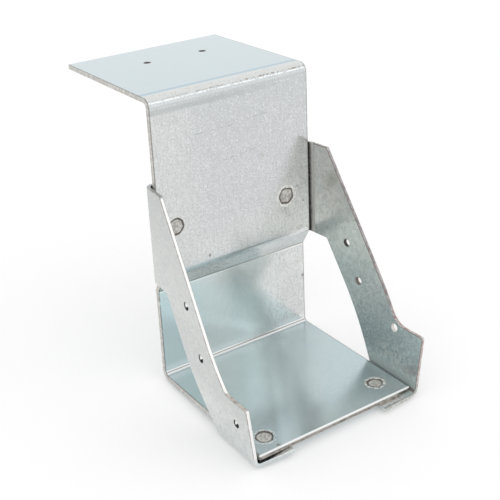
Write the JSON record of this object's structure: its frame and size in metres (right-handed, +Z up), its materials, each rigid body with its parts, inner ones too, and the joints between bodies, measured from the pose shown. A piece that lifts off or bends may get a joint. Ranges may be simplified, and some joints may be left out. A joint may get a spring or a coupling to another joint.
{
  "type": "joist hanger",
  "caption": "Galvanised steel joist hanger: a folded strap hooks over a wall and turns under as a seat, with nailing brackets spot-welded on at both sides.",
  "frame": {"origin": "centre of the seat's top face, where the joist lands", "axes": "+X to the right seen from the open front, +Y back into the wall, +Z up"},
  "size_m": [0.1136, 0.1795, 0.1668],
  "materials": {
    "strap_zinc": "galvanised sheet",
    "left_zinc": "galvanised sheet",
    "right_zinc": "galvanised sheet"
  },
  "bodies": {
    "root": {"strap": "strap_zinc", "left_bracket": "left_zinc", "right_bracket": "right_zinc"}
  },
  "joints": []
}
